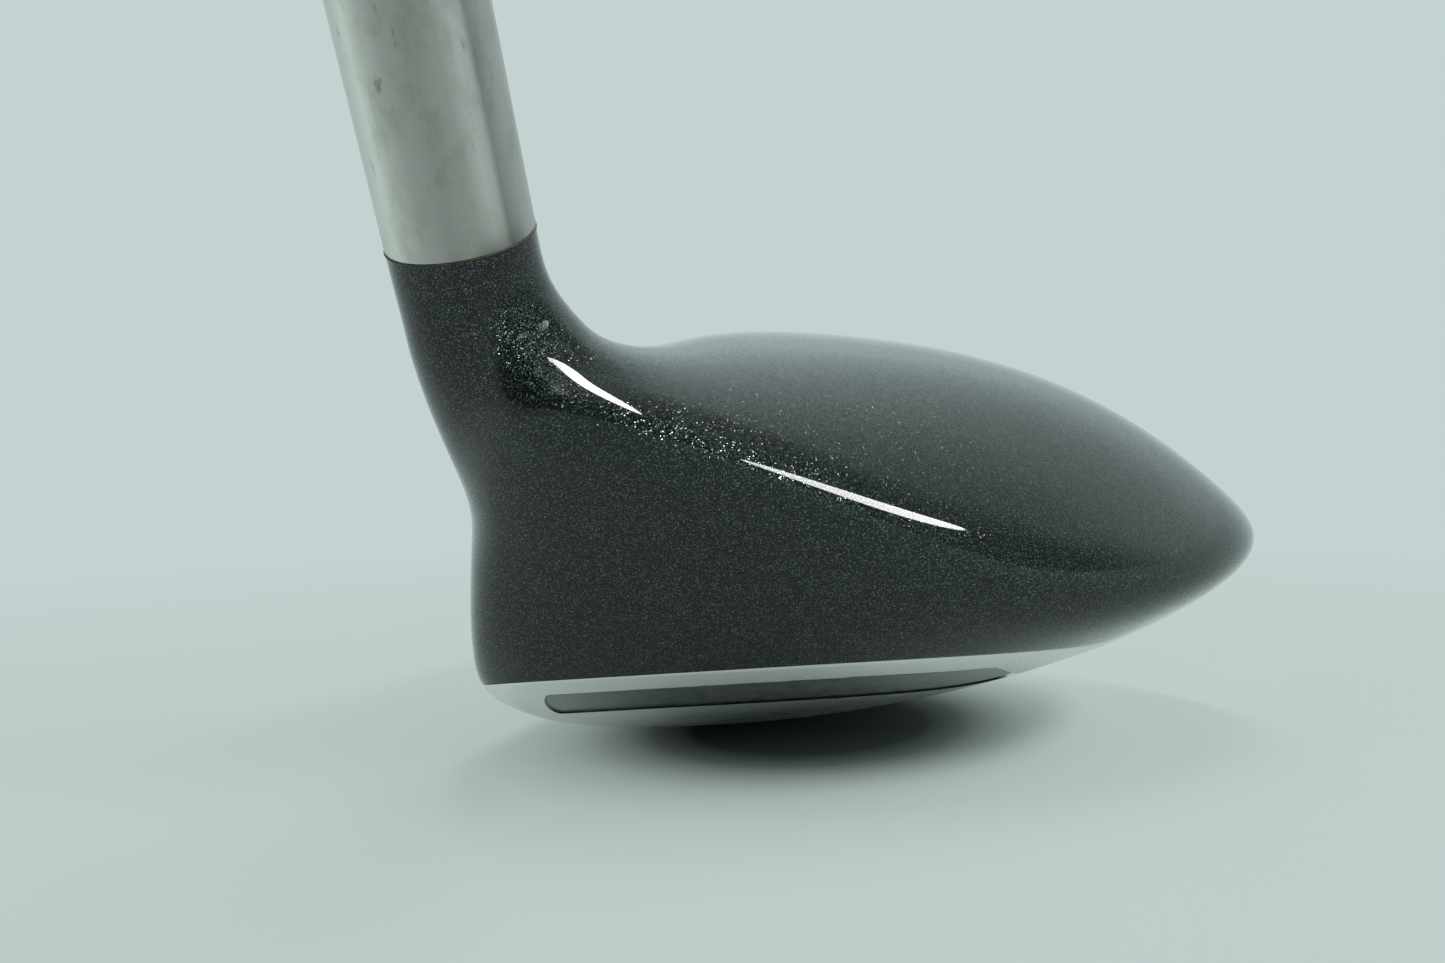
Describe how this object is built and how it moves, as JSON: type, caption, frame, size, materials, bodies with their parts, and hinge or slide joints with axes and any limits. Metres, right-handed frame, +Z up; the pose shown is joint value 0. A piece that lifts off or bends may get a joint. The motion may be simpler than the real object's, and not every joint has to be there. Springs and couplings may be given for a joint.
{
  "type": "hybrid golf club",
  "caption": "Right-handed hybrid golf club with a hollow painted steel head, bare steel hosel, ferrule, tapered shaft and rubber grip.",
  "frame": {"origin": "middle of the small flat on the sole that the head rests on", "axes": "-X is the way the face looks, +X the back of the head, +Y the toe, -Y the heel, +Z up with the club soled; the shaft rises towards -Y at a 62.5 degree lie"},
  "size_m": [0.0766, 0.5608, 0.9115],
  "materials": {
    "charcoal_paint": "gloss charcoal metallic-flake paint under clear coat",
    "blasted_steel": "bead-blasted stainless steel with cut score lines",
    "satin_steel": "satin brushed stainless steel",
    "dark_fill": "dark paint fill in a shallow recess",
    "weight_steel": "raw cast",
    "hot_melt": "amber hot-melt glue",
    "brushed_hosel_steel": "bare stainless steel, turned and lightly scuffed",
    "plug_plastic": "moulded",
    "epoxy": "cured epoxy",
    "brass": "turned",
    "ferrule_plastic": "polished black",
    "shaft_composite": "clear-coated dark grey carbon composite",
    "tape": "masking-paper grip tape",
    "grip_rubber": "moulded texture, matt",
    "cap_rubber": "matt"
  },
  "bodies": {
    "root": {"head_body": "charcoal_paint", "crown_plate": "charcoal_paint", "face_plate": "blasted_steel", "sole_plate": "satin_steel", "sole_inlay": "dark_fill", "rear_weight": "weight_steel", "rattle_glue": "hot_melt", "hosel_tube": "brushed_hosel_steel", "bore_plug": "plug_plastic", "shaft_epoxy": "epoxy", "tip_weight": "brass", "ferrule": "ferrule_plastic", "shaft": "shaft_composite", "grip_tape": "tape", "grip_sleeve": "grip_rubber", "grip_cap": "cap_rubber"}
  },
  "joints": []
}
